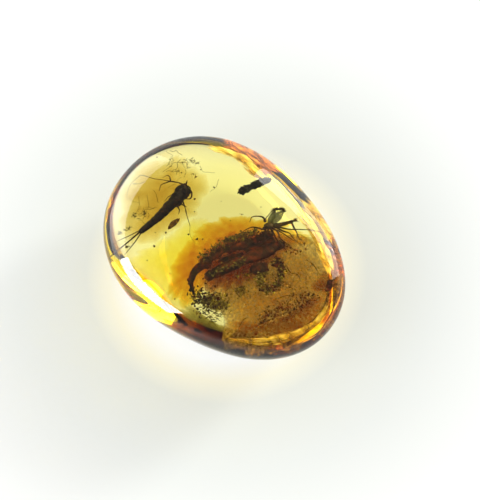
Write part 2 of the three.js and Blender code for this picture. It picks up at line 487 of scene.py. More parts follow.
def bristletail():
    """A slender three-tailed insect, 8 mm long, humped at the thorax."""
    body = Form(BRISTLETAIL_AT, BRISTLETAIL_BEARING)
    girth = profile([
        (0.0, 0.14), (0.05, 0.24), (0.1, 0.30), (0.3, 0.38), (0.5, 0.52), (0.66, 0.72), (0.76, 0.82),
        (0.86, 0.76), (0.90, 0.64), (0.95, 0.58), (0.985, 0.42), (1.0, 0.16),
    ])

    def segmented(share):
        """Overlapping rings: each swells a little and steps in where the next begins."""
        if share < ABDOMEN_SHARE:
            ring = share / ABDOMEN_SHARE * ABDOMEN_RINGS % 1
        else:
            ring = (share - ABDOMEN_SHARE) / (1 - ABDOMEN_SHARE) * THORAX_RINGS % 1
        worn = 0.06 * noise.noise(Vector((share * 26, 0.5, 3.0)))
        worn += 0.05 * noise.noise(Vector((share * 70, 2.5, 1.0)))
        return girth(share) * (1.03 - 0.13 * ring ** 3 + worn)

    spine = [
        (-5.0, 0.36, -0.1), (-4.4, 0.26, -0.05), (-2.6, 0.04, 0.05), (0.0, 0.0, 0.12), (1.4, 0.12, 0.0),
        (2.05, 0.32, -0.15),
    ]
    body.tube(spine, segmented, sides=28, flatten=0.85, steps=230)
    for side in (-1, 1):
        body.lump((1.72, 0.22 + 0.27 * side, 0.08), (0.16, 0.13, 0.15), rough=0.03, detail=2)
    # The hump, the flanks' sagging plates and the mouth.
    for centre, radii, rough, size, seed in (
        ((0.55, 0.02, 0.3), (0.75, 0.55, 0.42), 0.12, 0.4, 3),
        ((0.0, -0.45, -0.1), (0.5, 0.35, 0.4), 0.2, 0.3, 4),
        ((-0.9, 0.4, 0.0), (0.6, 0.22, 0.3), 0.3, 0.25, 14),
        ((1.2, -0.35, 0.0), (0.5, 0.3, 0.35), 0.3, 0.25, 15),
        ((-2.3, -0.3, 0.0), (0.5, 0.16, 0.25), 0.3, 0.2, 16),
        ((1.95, 0.5, 0.0), (0.22, 0.2, 0.2), 0.2, 0.2, 5),
    ):
        body.lump(centre, radii, 0, rough, size, 3, seed)
    body.piece("bristletail_body", "bristletail", "cuticle")

    limbs = Form(BRISTLETAIL_AT, BRISTLETAIL_BEARING)
    # A spike on the head.
    limbs.tube([(1.9, 0.35, 0.05), (2.25, 0.45, 0.15), (2.55, 0.6, 0.2)], taper(0.16, 0.02))
    # The left foreleg reaches out to a fork, where the palps and the long feeler part.
    fork = (1.3, 1.85, 0.15)
    limbs.tube([(1.9, 0.55, 0), (1.75, 1.1, 0.1), fork], profile([(0, 0.13), (0.6, 0.06), (1, 0.09)]))
    limbs.tube([fork, (1.6, 2.2, 0.2), (1.58, 2.55, 0.2), (1.1, 2.75, 0.15)], taper(0.075, 0.02))
    limbs.tube([fork, (0.85, 2.1, 0.1), (0.35, 2.3, 0.05), (-0.25, 2.0, 0.0)], taper(0.08, 0.025))
    feeler = [
        fork, (0.95, 2.45, 0.2), (0.35, 3.45, 0.2), (-0.1, 4.6, 0.15), (-0.6, 4.75, 0.1), (-1.4, 4.8, 0.05),
        (-2.2, 4.55, 0.0), (-2.85, 4.1, 0.0), (-3.0, 3.6, 0.0),
    ]
    limbs.tube(feeler, taper(0.05, 0.008, 0.7), sides=6, steps=60)
    limbs.tube([(-1.4, 4.7, 0.1), (-0.95, 4.1, 0.1), (-0.4, 3.8, 0.1)], taper(0.016, 0.008), sides=6)
    # The right palp curls round in front of the head.
    limbs.tube([(1.9, -0.1, 0), (1.85, -0.6, 0.1), (1.45, -1.0, 0.1), (1.1, -1.0, 0.0)], taper(0.11, 0.07))
    limbs.tube([(1.1, -0.95, 0.0), (0.85, -0.6, -0.1), (0.8, -0.35, -0.1)], taper(0.06, 0.04))
    limbs.lump((1.5, -1.4, 0.0), (0.14, 0.1, 0.1), rough=0.3, size=0.1, detail=2, seed=6)
    # Legs of the right side: short stubs near the body and one long thin shin.
    limbs.tube([(0.1, -0.6, -0.1), (0.2, -1.05, -0.1), (0.0, -1.5, -0.15)], taper(0.10, 0.03))
    limbs.tube([(-0.3, -0.6, -0.2), (-0.45, -1.0, -0.3), (-0.85, -1.25, -0.3)], taper(0.09, 0.03))
    shin = profile([(0, 0.05), (0.1, 0.07), (0.4, 0.04), (1, 0.03)])
    limbs.tube([(0.0, -1.45, -0.15), (-0.5, -2.15, -0.2), (-1.05, -3.05, -0.2)], shin)
    limbs.tube([(0.6, -0.5, -0.3), (0.35, -0.95, -0.4), (0.3, -1.3, -0.4)], taper(0.09, 0.04))
    limbs.tube([(0.5, 0.6, -0.35), (0.0, 0.9, -0.5), (-0.7, 0.85, -0.5)], taper(0.07, 0.02))
    limbs.piece("bristletail_limbs", "limb", "cuticle")

    tails = Form(BRISTLETAIL_AT, BRISTLETAIL_BEARING)
    # The middle tail is the longest and stoutest.
    tails.tube([(-4.8, 0.36, -0.1), (-6.8, 0.62, -0.15), (-9.0, 1.1, -0.3)], taper(0.1, 0.045), steps=40)
    tails.tube([(-4.6, 0.4, -0.05), (-6.0, 0.95, 0.05), (-7.6, 1.75, 0.1)], taper(0.07, 0.022), steps=30)
    tails.tube([(-4.7, 0.25, -0.1), (-6.1, 0.0, -0.1), (-7.6, -0.1, -0.15)], taper(0.075, 0.025), steps=30)
    chance = random.Random(11)
    for start, end in (
        ((-5.6, 0.25, -0.1), (-9.0, 1.1, -0.1)), ((-5.3, 0.35, -0.1), (-7.5, 1.65, -0.1)),
        ((-5.4, 0.1, -0.1), (-7.3, 0.0, -0.1)),
    ):
        for _ in range(BRISTLES_PER_TAIL):
            root = Vector(start).lerp(Vector(end), chance.uniform(0.1, 0.95))
            lean = chance.choice((-1, 1)) * chance.uniform(0.1, 0.2)
            tails.tube([root, root + Vector((-0.12, lean, 0))], taper(0.012, 0.004), sides=4, steps=2)
    tails.piece("bristletail_tails", "limb", "cuticle")


# ---------------------------------------------------------------- the gnat
# Its own frame: forward along +X towards the head, its left along +Y, its back up along +Z.
GNAT_AT = (2.17, 4.59, 6.5)
GNAT_BEARING = 235.4
WING_ROWS = 27
WING_COLUMNS = 9
WING_SKIN = Vector((0, 0, 0.008))   # half of the membrane's thickness


def gnat():
    """A long-legged gnat, 3.5 mm long, on its side with its wings folded over to the right."""
    body = Form(GNAT_AT, GNAT_BEARING)
    body.lump((0.0, 0.0, 0.0), (0.52, 0.38, 0.4), rough=0.1, size=0.3, seed=1)
    body.lump((0.52, 0.12, -0.08), (0.17, 0.15, 0.16), rough=0.06, detail=2, seed=2)
    body.tube([(0.6, 0.15, -0.1), (0.85, 0.3, -0.2)], taper(0.06, 0.025))
    abdomen = profile([(0, 0.24), (0.2, 0.26), (0.5, 0.22), (0.85, 0.17), (1, 0.1)])
    rings = 8
    body.tube(
        [(-0.2, 0.0, 0.0), (-1.0, 0.12, -0.05), (-1.9, 0.08, -0.05), (-2.65, 0.0, 0.0)],
        lambda share: abdomen(share) * (1.04 - 0.16 * (share * rings % 1) ** 3), sides=16, steps=96,
    )
    body.lump((-2.75, -0.04, 0.02), (0.2, 0.19, 0.18), rough=0.2, size=0.15, seed=7)
    for lean in (-1, 1):
        body.tube([(-2.8, 0.1 * lean, 0.05), (-3.05, 0.22 * lean, 0.1)], taper(0.05, 0.02))
    # A dark palp club by the left of the head, on its thin stalk.
    body.lump((0.25, -0.65, 0.05), (0.17, 0.2, 0.17), rough=0.15, size=0.15, seed=8)
    body.piece("gnat_body", "gnat", "cuticle")

    legs = Form(GNAT_AT, GNAT_BEARING)
    shin = profile([(0, 0.11), (0.25, 0.095), (0.45, 0.065), (1, 0.03)])
    thigh = profile([(0, 0.13), (0.5, 0.11), (1, 0.07)])
    routes = [
        [(0.3, 0.25, 0), (0.6, 0.3, 0.1), (1.45, -0.15, 0.15), (2.1, -0.15, 0.1), (2.85, 0.1, 0.0),
         (3.8, 0.55, 0)],
        [(0.2, -0.5, 0.1), (0.4, -1.05, 0.15), (0.98, -1.3, 0.15), (1.5, -1.3, 0.1), (1.8, -0.85, 0.05)],
        [(-0.45, 0.3, 0), (-1.0, 0.4, 0.05), (-1.95, 0.85, 0.1), (-3.0, 1.1, 0.1), (-4.2, 1.4, 0.0),
         (-5.3, 1.9, -0.1)],
        [(-2.3, 0.1, 0), (-2.45, 0.75, 0.05), (-2.6, 1.35, 0.05), (-2.7, 2.0, 0.0), (-2.95, 2.3, 0.0)],
        [(-0.4, 0.5, 0), (-0.9, 0.8, 0.1), (-1.55, 1.5, 0.1), (-2.25, 2.3, 0.0)],
        [(-0.2, 0.4, 0), (-0.35, 1.1, 0.1), (-0.45, 1.6, 0.1), (-0.8, 2.2, 0.0), (-1.15, 2.95, -0.1)],
        [(0.3, 0.2, -0.1), (0.55, 0.6, -0.1), (0.7, 1.65, -0.1)],
        [(-0.3, 0.3, 0.1), (-0.75, 0.9, 0.2), (-0.9, 1.7, 0.1), (-1.6, 2.6, 0.0), (-1.7, 3.1, 0.0)],
        [(-0.6, 0.2, 0.0), (-1.3, 0.9, 0.1), (-1.9, 1.3, 0.1), (-2.2, 2.0, 0.0), (-2.9, 3.0, 0.0)],
    ]
    for route in routes:
        legs.tube(route, shin, sides=6, steps=12 * len(route))
    for knee in ((-0.35, 1.05, 0.05), (0.42, 0.75, -0.05), (-0.95, 0.38, 0.05)):
        legs.tube([(-0.1, 0.15, 0.0), knee], thigh, sides=8)
    chance = random.Random(5)
    for route in routes:
        for here, there in zip(route[1:], route[2:]):
            for _ in range(5):
                foot = Vector(here).lerp(Vector(there), chance.random())
                spine = Vector((chance.uniform(-1, 1), chance.uniform(-1, 1), 0.3)).normalized() * 0.09
                legs.tube([foot, foot + spine], taper(0.010, 0.004), sides=4, steps=2)
    # The far foot of the front leg is clotted with dust.
    clot = ((3.2, (-0.35, 0.6)), (0.35, (-0.2, 0.2)), (0, (-0.1, 0.1)))
    for _ in range(22):
        spot = [middle + chance.uniform(*stray) for middle, stray in clot]
        legs.lump(spot, [chance.uniform(0.03, 0.08)] * 3, 0, 0.4, 0.05, 1, chance.random())
    legs.piece("gnat_legs", "limb", "cuticle")

    # Two plumed feelers arch back over the wings.
    plumes = Form(GNAT_AT, GNAT_BEARING)
    arcs = [
        [(0.3, -0.72, 0.05), (-0.15, -1.1, 0.1), (-0.65, -1.5, 0.15), (-0.98, -1.62, 0.15)],
        [(-0.75, -1.6, 0.1), (-1.1, -1.72, 0.15), (-1.35, -1.5, 0.15)],
        [(-1.35, -1.5, 0.15), (-1.75, -1.55, 0.15), (-1.9, -1.13, 0.1)],
    ]
    for number, arc in enumerate(arcs):
        plumes.tube(arc, taper(0.055, 0.035), sides=6, steps=30)
        hairs = smooth_path(arc, 34)
        for place, ahead in zip(hairs, hairs[1:]):
            if number == 0 and place.x > -0.5:
                continue
            for side in (-1, 1):
                out = Vector((ahead.y - place.y, place.x - ahead.x, 0)).normalized() * side
                tip = place + out * chance.uniform(0.10, 0.24) + (ahead - place) * 1.5
                plumes.tube([place, tip], taper(0.022, 0.008), sides=4, steps=2)
    plumes.piece("gnat_feelers", "gnat", "cuticle")

    # The wings stand folded over the right side, thin and smoky, each with its stiff front vein.
    wings = Form(GNAT_AT, GNAT_BEARING)
    veins = Form(GNAT_AT, GNAT_BEARING)
    for root, tip, width, lift in (
        (Vector((-0.05, -0.1, 0.22)), Vector((-0.95, -1.42, 0.2)), 0.33, 0.0),
        (Vector((-0.35, -0.12, 0.2)), Vector((-1.75, -1.25, 0.25)), 0.42, 0.12),
    ):
        length = tip - root
        across = Vector((-length.y, length.x, 0)).normalized()
        top = []
        bottom = []
        for row in range(WING_ROWS):
            share = row / (WING_ROWS - 1)
            for column in range(WING_COLUMNS):
                side = 2 * column / (WING_COLUMNS - 1) - 1
                fold = Vector((0, 0, 0.02 * math.sin(side * 5 + share * 6) + lift))
                point = root + length * share + across * ((wing_half(width, share) + 0.01) * side) + fold
                top.append(point + WING_SKIN)
                bottom.append(point - WING_SKIN)
        wings.shell(*sheet_faces(top, bottom, WING_ROWS, WING_COLUMNS))
        for lane in (-0.98, -0.5, -0.1, 0.35, 0.75):
            line = []
            for share in (step / 8 for step in range(9)):
                out = wing_half(width, share) * lane * min(share * 3, 1)
                line.append(root + length * share + across * out + Vector((0, 0, lift + 0.015)))
            veins.tube(line, taper(0.026 if lane < -0.9 else 0.015, 0.008), sides=5, steps=24)
    wings.piece("gnat_wings", "wing", "wing")
    crest = [(-0.7, -1.3, 0.3), (-1.25, -1.5, 0.35), (-1.8, -1.25, 0.4)]
    crumbs(veins, crest, (0.16, 0.13, 0.05), 80, (0.015, 0.06), 59)
    veins.piece("gnat_wing_veins", "gnat", "cuticle")


def wing_half(width, share):
    """Half of a wing's breadth at a share of its length."""
    return width * math.sin(math.pi * min(share * 0.86 + 0.1, 1.0)) ** 0.7


def sheet_faces(top, bottom, rows, columns):
    """Points and faces of a thin closed sheet from its two grids of points."""
    count = rows * columns
    faces = []
    for r in range(rows - 1):
        for c in range(columns - 1):
            a = r * columns + c
            quad = (a, a + 1, a + columns + 1, a + columns)
            faces.append(quad)
            faces.append(tuple(count + i for i in reversed(quad)))
    border = list(range(columns))
    border += [r * columns + columns - 1 for r in range(1, rows)]
    border += [(rows - 1) * columns + c for c in range(columns - 2, -1, -1)]
    border += [r * columns for r in range(rows - 2, 0, -1)]
    for a, b in zip(border, border[1:] + border[:1]):
        faces.append((b, a, count + a, count + b))
    return top + bottom, faces


# ---------------------------------------------------------------- bark, moss and other debris
FIBRE_COUNT = 150


def heading(turn, rise=0.0):
    """The level direction at an angle from +X, with a rise added."""
    return Vector((math.cos(turn), math.sin(turn), rise))


def crumbs(form, path, spread, count, sizes, seed):
    """Scatter rough grains round a path. spread is how far they stray in x, y and z."""
    chance = random.Random(seed)
    line = smooth_path(path, 40)
    for _ in range(count):
        centre = line[chance.randrange(len(line))]
        shift = Vector(chance.gauss(0, 1) * s for s in spread)
        size = chance.uniform(*sizes)
        radii = [size * chance.uniform(0.6, 1.4) for _ in range(3)]
        form.lump(centre + shift, radii, chance.uniform(0, 360), 0.45, size * 1.2, 1, chance.random())


def bark_mass():
    """Flakes and pellets of rotten bark that lie across the middle of the pebble."""
    margin = [
        (-0.5, -3.9), (-1.2, -2.3), (-1.1, -0.3), (-0.2, 1.8), (1.8, 4.1), (4.2, 4.6), (5.0, 3.3), (4.6, 1.3),
        (4.8, -0.1), (3.9, -2.3), (2.4, -4.2), (0.9, -4.6),
    ]
    place = (1.9, 0.1, 4.9)
    stain("soaked_bark", "soaked_bark", "debris", place, margin, 0.26, 0.24, 0.7, 0.2, 0.9, 21, 160, 34)

    bark = Form()
    cigar = [(1.3, -3.3, 5.5), (2.0, -1.5, 5.55), (2.8, 0.4, 5.5), (3.6, 2.2, 5.5), (4.2, 3.9, 5.4)]
    girth = profile([(0, 0.3), (0.07, 0.6), (0.35, 0.64), (0.47, 0.45), (0.6, 0.7), (0.85, 0.72), (1, 0.25)])
    bark.tube(cigar, girth, sides=20, flatten=0.6, steps=60)
    for i, centre in enumerate(smooth_path(cigar, 12)):
        bark.lump(centre, (0.6, 0.5, 0.34), 70 + 25 * (i % 3), 0.35, 0.35, 3, i)
    # Each flake's place, half length, half width and bearing.
    for i, (x, y, z, long, wide, bearing) in enumerate((
        (-0.1, -2.5, 5.4, 0.75, 0.45, 60), (0.2, -1.2, 5.45, 0.9, 0.5, 75), (0.8, 0.2, 5.5, 1.2, 0.5, 66),
        (1.6, 1.7, 5.5, 1.2, 0.5, 62), (2.3, 3.2, 5.5, 1.0, 0.45, 58), (2.5, 4.1, 5.4, 0.5, 0.4, 20),
        (4.6, 1.0, 5.3, 0.75, 0.55, 40), (4.2, 0.3, 5.2, 0.6, 0.5, 100), (2.6, 2.0, 5.35, 1.1, 0.55, 62),
        (3.0, 3.4, 5.3, 0.8, 0.6, 60), (1.5, -0.5, 5.1, 1.3, 0.34, 64), (5.5, 2.2, 5.1, 0.5, 0.22, 40),
        (6.4, 1.9, 5.1, 0.5, 0.2, 100),
    )):
        bark.lump((x, y, z), (long, wide, 0.25), bearing, 0.4, 0.4, 4, 60 + i)
    bark.piece("bark_flakes", "bark", "debris")

    foot = [
        (1.2, -7.6), (4.2, -7.2), (6.8, -6.5), (9.4, -5.0), (10.4, -3.6), (8.2, -4.0), (5.8, -5.2),
        (3.6, -5.9), (1.4, -6.3),
    ]
    stain("olive_seam", "olive", "flow", (5.6, -5.9, 3.6), foot, 0.4, 0.4, 0.7, 0.2, 0.8, 24, 140, 24)

    edge = Form()
    hook = [(0.5, -2.4, 5.2), (-0.12, -3.1, 5.2), (-0.2, -4.1, 5.1), (0.3, -5.0, 5.0), (1.3, -5.6, 4.8)]
    thick = profile([(0, 0.35), (0.3, 0.46), (0.6, 0.36), (0.8, 0.2), (1, 0.12)])
    edge.tube(hook, thick, sides=12, flatten=0.5, steps=40)
    for path, spread, count, sizes, seed in (
        (hook, (0.17, 0.17, 0.12), 70, (0.05, 0.16), 31),
        ([(1.3, -5.6, 4.9), (2.3, -6.3, 4.6), (3.2, -6.5, 4.3)], (0.2, 0.2, 0.1), 40, (0.04, 0.12), 32),
        ([(1.4, -4.9, 5.0), (2.6, -5.0, 4.9), (4.0, -4.6, 4.8)], (0.4, 0.45, 0.1), 40, (0.05, 0.16), 38),
        ([(5.2, 2.7, 5.2), (6.0, 2.4, 5.2), (6.85, 1.4, 5.2), (6.9, 0.3, 5.2), (6.2, -0.6, 5.2)],
         (0.16, 0.16, 0.1), 150, (0.04, 0.13), 43),
        ([(-0.4, -1.8, 5.7), (0.1, 0.2, 5.8), (1.1, 2.1, 5.8), (2.0, 3.8, 5.8)],
         (0.24, 0.24, 0.06), 150, (0.03, 0.11), 44),
    ):
        crumbs(edge, path, spread, count, sizes, seed)
    edge.piece("bark_edge", "bark", "debris")

    # Moss fringes the bark's upper edge, makes a ring beside it and is strewn over the flow.
    moss = Form()
    for path, spread, count, sizes, seed in (
        ([(-0.6, -2.6, 5.6), (-0.4, -0.8, 5.7), (0.0, 0.7, 5.7), (0.6, 1.6, 5.7), (1.0, 2.5, 5.7),
          (1.5, 3.4, 5.7)], (0.22, 0.22, 0.1), 520, (0.03, 0.12), 33),
        ([(4.9, 2.6, 5.1), (5.9, 2.4, 5.1), (6.75, 1.4, 5.1), (6.9, 0.35, 5.1), (6.3, -0.5, 5.1),
          (5.45, -0.1, 5.1), (5.1, 0.6, 5.1)], (0.2, 0.2, 0.1), 460, (0.04, 0.14), 34),
        ([(4.3, -2.8, 5.0), (4.6, -1.9, 5.0), (5.0, -2.7, 4.9)], (0.16, 0.2, 0.1), 150, (0.03, 0.1), 35),
        ([(1.3, -3.0, 5.9), (2.2, -1.4, 6.0), (3.0, 0.6, 5.9)], (0.2, 0.3, 0.04), 110, (0.04, 0.1), 36),
        ([(3.4, -0.9, 5.0), (4.4, 0.0, 5.0), (5.0, 1.0, 5.0)], (0.25, 0.35, 0.1), 90, (0.06, 0.15), 37),
        ([(1.8, -5.6, 4.8), (3.0, -5.0, 4.8), (4.4, -4.0, 4.8)], (0.4, 0.4, 0.12), 320, (0.04, 0.15), 39),
        ([(5.4, -0.8, 4.8), (7.4, 1.2, 4.8), (9.0, 3.4, 4.6)], (0.9, 1.2, 0.2), 260, (0.02, 0.08), 40),
    ):
        crumbs(moss, path, spread, count, sizes, seed)
    moss.piece("moss_crumbs", "moss", "debris")

    tuft = Form()
    chance = random.Random(41)
    for _ in range(FIBRE_COUNT):
        root = Vector((chance.uniform(2.4, 4.6), chance.uniform(-6.2, -4.0), chance.uniform(3.9, 4.5)))
        lean = math.radians(chance.gauss(35, 28))
        length = chance.uniform(0.2, 0.75)
        tip = root + heading(lean, chance.uniform(-0.2, 0.2)) * length
        bend = (root + tip) / 2 + Vector((chance.uniform(-0.1, 0.1), chance.uniform(-0.1, 0.1), 0))
        tuft.tube([root, bend, tip], taper(chance.uniform(0.02, 0.07), 0.01), sides=5, steps=6)
    tuft.piece("bark_fibres", "moss", "debris")


def frass_rod():
    """A rod of pressed frass, pinched at its waist and ragged at both ends."""
    rod = Form()
    line = [(-2.6, 5.4, 6.8), (-2.25, 6.4, 6.8), (-1.9, 7.35, 6.8), (-1.5, 8.35, 6.75)]
    width = profile([
        (0, 0.3), (0.06, 0.38), (0.25, 0.38), (0.36, 0.29), (0.5, 0.37), (0.85, 0.37), (0.95, 0.36), (1, 0.3),
    ])
    rod.tube(line, width, sides=20, steps=60)
    pellets = 26
    for i, centre in enumerate(smooth_path(line, pellets)):
        size = (0.72 + 0.14 * (i % 3)) * width(i / pellets)
        rod.lump(centre, (size, size, size), 0, 0.8, 0.2, 3, i)
    rod.lump((-2.7, 5.2, 6.8), (0.1, 0.16, 0.1), 20, 0.5, 0.1, 2, 51)
    rod.lump((-1.42, 8.5, 6.75), (0.1, 0.18, 0.1), 60, 0.5, 0.1, 2, 52)
    rod.piece("frass_rod", "frass", "debris")


def bud_scale():
    """A small pointed bud scale, ribbed along its length."""
    scale = Form((-5.3, -1.85, 6.1), 88)
    width = profile([(0, 0.05), (0.15, 0.2), (0.5, 0.32), (0.85, 0.2), (1, 0.04)])
    scale.tube([(-0.85, 0, 0), (0, 0.05, 0.05), (0.85, 0, 0)], width, sides=20, flatten=0.55, steps=30)
    for k in range(5):
        side = (k - 2) * 0.11
        rib = [(-0.6, side * 0.6, 0.12), (0, side, 0.2), (0.65, side * 0.5, 0.12)]
        scale.tube(rib, taper(0.03, 0.02), sides=6)
    scale.piece("bud_scale", "bud", "debris")


def plant_hairs():
    """Star-shaped plant hairs, single threads and dust, mostly by the bristletail."""
    hairs = Form()
    chance = random.Random(61)
    clusters = [
        (-8.85, -4.1, 7.0, 5), (-8.3, -3.2, 7.0, 5), (-8.1, -3.5, 7.0, 2), (-8.35, -5.4, 6.9, 3),
        (-8.45, -5.8, 6.9, 3), (-8.65, -6.4, 6.8, 5), (-8.9, -3.9, 7.0, 2), (-7.1, -6.8, 6.4, 2),
        (-8.7, 4.5, 6.9, 4), (-9.3, 3.8, 6.9, 2), (-8.2, 4.6, 6.9, 3), (-7.3, 3.5, 6.8, 2),
        (-9.2, 4.7, 6.9, 2), (-8.6, 2.9, 6.8, 1), (-1.0, 3.6, 6.0, 1),
    ]
    for x, y, z, count in clusters:
        for _ in range(count):
            heart = Vector((x, y, z)) + Vector(chance.gauss(0, stray) for stray in (0.14, 0.14, 0.1))
            hairs.lump(heart, [0.045] * 3, 0, 0.3, 0.05, 1, chance.random())
            for _ in range(chance.randint(3, 6)):
                turn = chance.uniform(0, 2 * math.pi)
                length = chance.uniform(0.14, 0.36)
                tip = heart + heading(turn, chance.uniform(-0.4, 0.4)) * length
                hairs.tube([heart, tip], taper(0.026, 0.008), sides=5, steps=3)
    threads = [
        [(-10.15, 1.5, 7.0), (-10.0, 2.7, 7.0), (-10.15, 2.95, 7.0), (-9.3, 3.8, 7.0), (-8.8, 4.2, 7.0)],
        [(-11.6, -1.4, 6.2), (-11.1, -0.9, 6.2), (-10.85, -0.3, 6.2)],
        [(-10.1, -2.1, 6.6), (-9.3, -2.9, 6.7), (-8.9, -3.8, 6.8)],
        [(-9.6, -1.4, 6.4), (-8.6, -2.2, 6.4), (-8.3, -3.0, 6.5)],
        [(-5.3, 4.9, 6.6), (-4.9, 4.1, 6.6), (-5.0, 3.2, 6.6)],
        [(-3.9, -0.9, 6.2), (-3.2, -1.6, 6.0), (-2.2, -1.9, 5.8)],
    ]
    for line in threads:
        hairs.tube(line, taper(0.022, 0.010), sides=5, steps=30)
    # Crinkled hairs that wander about on both sides of the bristletail.
    for count, across, along in ((16, (-10.8, -6.6), (2.0, 4.8)), (9, (-10.6, -8.0), (-4.6, -0.6))):
        for _ in range(count):
            walk = [Vector((chance.uniform(*across), chance.uniform(*along), chance.uniform(6.3, 6.7)))]
            turn = chance.uniform(0, 2 * math.pi)
            for _ in range(chance.randint(3, 6)):
                turn += chance.gauss(0, 0.8)
                walk.append(walk[-1] + heading(turn) * chance.uniform(0.15, 0.42))
            hairs.tube(walk, chance.uniform(0.012, 0.026), sides=5, steps=5 * len(walk))
    specks = [
        (-5.0, -5.05, 6.6, 0.13), (-7.1, -6.85, 6.4, 0.16), (-5.15, -3.2, 6.6, 0.11),
        (-3.35, -1.7, 6.2, 0.12), (-2.35, -1.5, 6.2, 0.15), (-1.9, -1.1, 6.2, 0.1), (-4.6, 0.5, 6.6, 0.08),
        (-7.25, 3.5, 6.6, 0.11), (-7.45, 4.45, 6.6, 0.07), (-11.9, 2.5, 6.3, 0.09), (-10.7, 3.2, 6.4, 0.08),
        (-8.65, 2.8, 6.8, 0.09),
        (-5.0, 3.9, 6.7, 0.10), (-4.6, -6.4, 5.8, 0.07), (-1.9, -5.9, 5.6, 0.07), (0.2, -7.2, 5.2, 0.08),
        (-1.2, 2.4, 6.2, 0.06), (0.1, 5.6, 6.4, 0.06), (-3.4, 3.3, 6.4, 0.05), (-6.0, -3.9, 6.4, 0.06),
    ]
    for x, y, z, size in specks:
        hairs.lump((x, y, z), (size, size * 0.8, size * 0.8), x * 40, 0.35, size, 2, x)
    hairs.piece("plant_hairs", "hair", "debris")


# ---------------------------------------------------------------- stained and clouded resin
def keep_inside(point, limit=0.965):
    """Draw a point in towards the pebble's girth centre if it would touch the skin."""
    heart = Vector((0, 0, GIRTH_HEIGHT))
    spoke = Vector(point) + Vector(INNER_ORIGIN) - heart
    out = float(reach(np.float64(spoke.x), np.float64(spoke.y), np.float64(spoke.z)))
    if out > limit:
        spoke *= limit / out
    return spoke + heart - Vector(INNER_ORIGIN)


def lens(centre, outline, above, below, soft=1.5, wander=0.1, size=1.5, seed=1, rounds=120, rings=26):
    """A lens of resin: thickest in the middle and run out to a soft, wandering edge."""
    middle = Vector(centre)
    # An outline that runs clockwise is turned round, so that every face looks outward.
    area = sum(a[0] * b[1] - a[1] * b[0] for a, b in zip(outline, outline[1:] + outline[:1]))
    corners = outline if area > 0 else outline[::-1]
    around = closed_path([Vector((x, y, middle.z)) - middle for x, y in corners], rounds)
    shift = Vector((seed * 4.1, seed * 2.3, 0))
    flats = []
    for ring in range(1, rings + 1):
        for spoke in around:
            stray = noise.noise(spoke / size + shift) + 0.5 * noise.noise(spoke / (0.3 * size) + shift)
            flats.append((spoke * ((1 + wander * stray) * ring / rings), ring / rings))

    def side(sign, depth):
        found = []
        for flat, share in flats:
            swell = 1 + 0.45 * noise.noise(flat / (0.5 * size) + shift * sign)
            rise = sign * depth * swell * (1 - share ** 2) ** soft
            found.append(keep_inside(middle + flat + Vector((0, 0, rise))))
        return found

    top = side(1, above)
    bottom = side(-1, below)[:-rounds]
    tips = [keep_inside(middle + Vector((0, 0, above))), keep_inside(middle - Vector((0, 0, below)))]
    count = len(top)
    tip = count + len(bottom)
    faces = []
    for k in range(rounds):
        n = (k + 1) % rounds
        for start in range(0, count - rounds, rounds):
            faces.append((start + k, start + rounds + k, start + rounds + n, start + n))
        for start in range(count, tip - rounds, rounds):
            faces.append((start + n, start + rounds + n, start + rounds + k, start + k))
        rim = count - rounds
        faces.append((tip - rounds + n, rim + n, rim + k, tip - rounds + k))
        faces.append((tip, k, n))
        faces.append((tip + 1, count + n, count + k))
    return top + bottom + tips, faces


def stain(name, material, slot, *shape):
    """Make one lens of stained or clouded resin a piece."""
    form = Form()
    form.shell(*lens(*shape))
    form.piece(name, material, slot)


GRAIN_COUNT = 1500
FLANK_LEAN = 0.8               # flecks lean over by this, in radians, to lie along the flank
FLOW_OUTLINE = [
    (0.3, -2.2), (1.5, -4.2), (2.9, -5.3), (4.3, -4.9), (5.4, -5.2), (6.4, -6.6), (8.2, -6.0), (10.6, -4.4),
    (12.4, -1.6), (12.6, 1.6), (11.7, 4.2), (10.2, 6.0), (8.0, 6.9), (5.4, 6.8), (3.8, 5.4), (2.4, 3.4),
    (1.0, 1.2),
]


def streaks(form, path, count, spread, widths, seed):
    """Flat, tapering flecks side by side along a flank. spread is how far they stray, in mm."""
    chance = random.Random(seed)
    steps = 60
    line = smooth_path(path, steps)
    for _ in range(count):
        length = chance.randint(14, 42)
        start = chance.randint(0, steps - length)
        shift = Vector((chance.gauss(0, 0.3), chance.gauss(0, 1.0), chance.gauss(0, 0.5))) * spread
        part = [keep_inside(p + shift, 0.95) for p in line[start:start + length + 1:7]]
        wide = chance.uniform(*widths)
        width = profile([(0, 0.02), (0.35, wide), (0.7, 0.8 * wide), (1, 0.02)])
        form.tube(part, width, sides=10, flatten=0.08, steps=36, roll=FLANK_LEAN)


